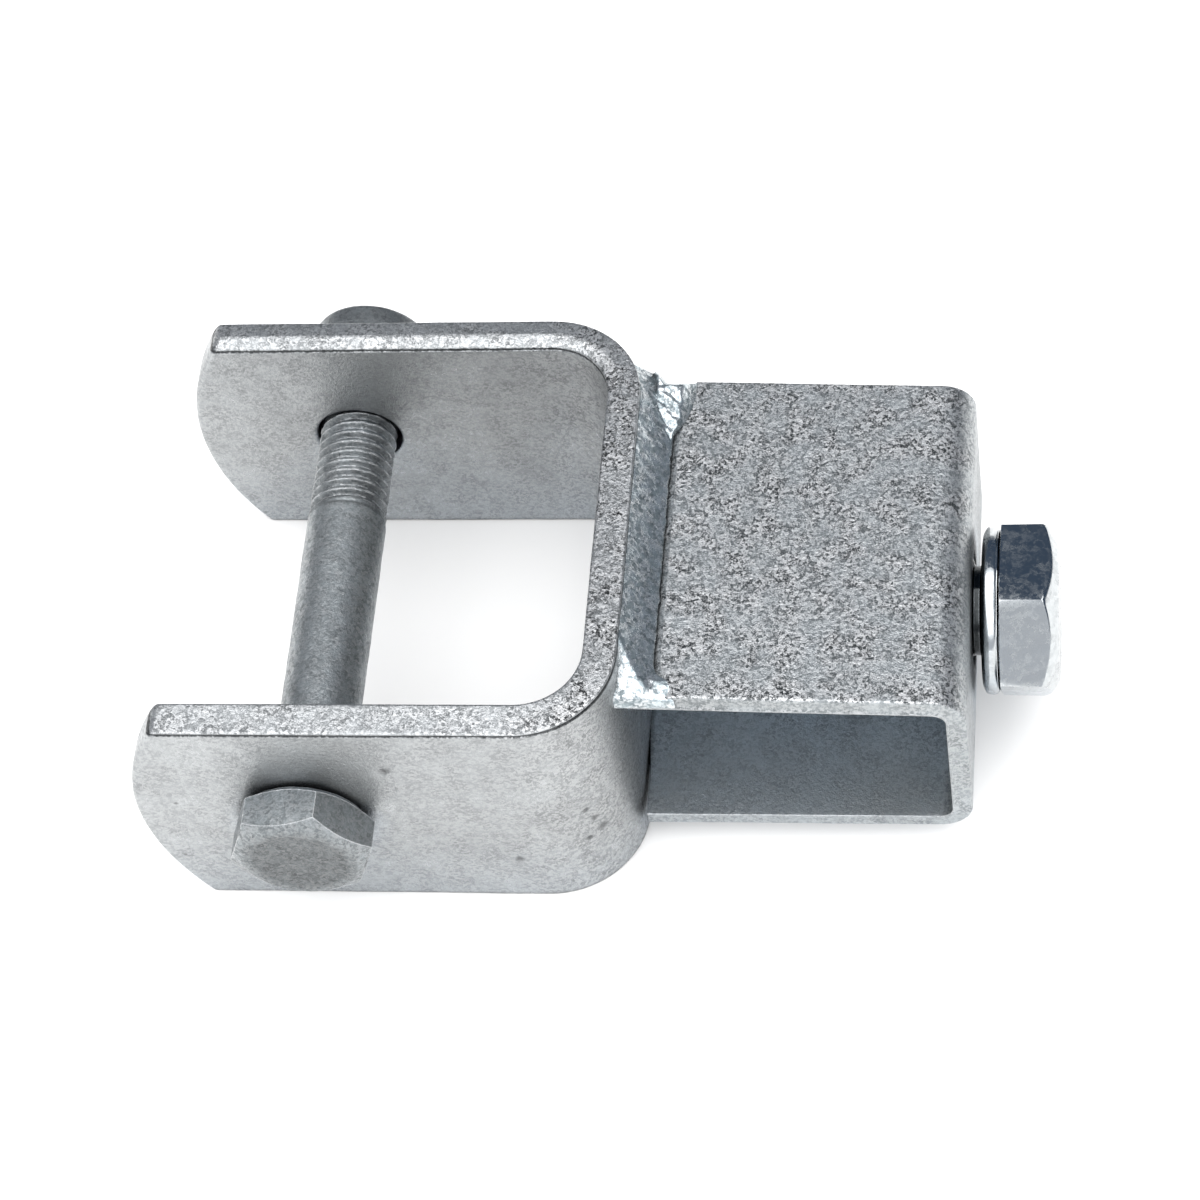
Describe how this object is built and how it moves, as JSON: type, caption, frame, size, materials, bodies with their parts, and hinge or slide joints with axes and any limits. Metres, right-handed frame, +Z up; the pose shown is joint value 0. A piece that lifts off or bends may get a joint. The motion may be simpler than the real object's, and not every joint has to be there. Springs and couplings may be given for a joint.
{
  "type": "scaffold coupler clamp",
  "caption": "Galvanised scaffold clamp: a bent strip fork closed by a loose clevis bolt and nut, with a sheet channel welded to its back that a hexagon screw clamps from the side.",
  "frame": {"origin": "middle of the lower edge of the fork's web, at mid-thickness, on the plane the fork stands on", "axes": "+X from the fork's web towards the clamp screw, so the fork opens along -X; +Y along the clevis bolt from head to nut; +Z up along the strip's width"},
  "size_m": [0.1316, 0.0941, 0.045],
  "materials": {
    "galvanised_strip": "hot-dip galvanised, mottled grey, satin",
    "galvanised_sheet": "hot-dip galvanised, coarse speckle on top",
    "weld_metal": "galvanised weld bead, smooth, with bright lumps at its ends",
    "plated_bolt": "dull zinc, slate grey",
    "bright_zinc": "smooth zinc, light grey"
  },
  "bodies": {
    "bracket": {"fork_bracket": "galvanised_strip", "clamp_channel": "galvanised_sheet", "upper_weld_bead": "weld_metal", "lower_weld_bead": "weld_metal", "clamp_nut": "plated_bolt"},
    "clevis_bolt": {"clevis_bolt": "plated_bolt"},
    "clevis_nut": {"clevis_nut": "plated_bolt"},
    "clamp_screw": {"clamp_screw": "bright_zinc"}
  },
  "joints": [
    {"name": "clevis_bolt_spin", "type": "hinge", "parent": "bracket", "child": "clevis_bolt", "pos_m": [-0.044, 0, 0.0223], "axis": [0, 1, 0], "continuous": true},
    {"name": "clevis_nut_spin", "type": "hinge", "parent": "clevis_bolt", "child": "clevis_nut", "pos_m": [-0.044, 0.0433, 0.0223], "axis": [0, 1, 0], "continuous": true},
    {"name": "clamp_screw_travel", "type": "slide", "parent": "bracket", "child": "clamp_screw", "axis": [1, 0, 0], "range_m": [-0.001, 0.0165]}
  ]
}
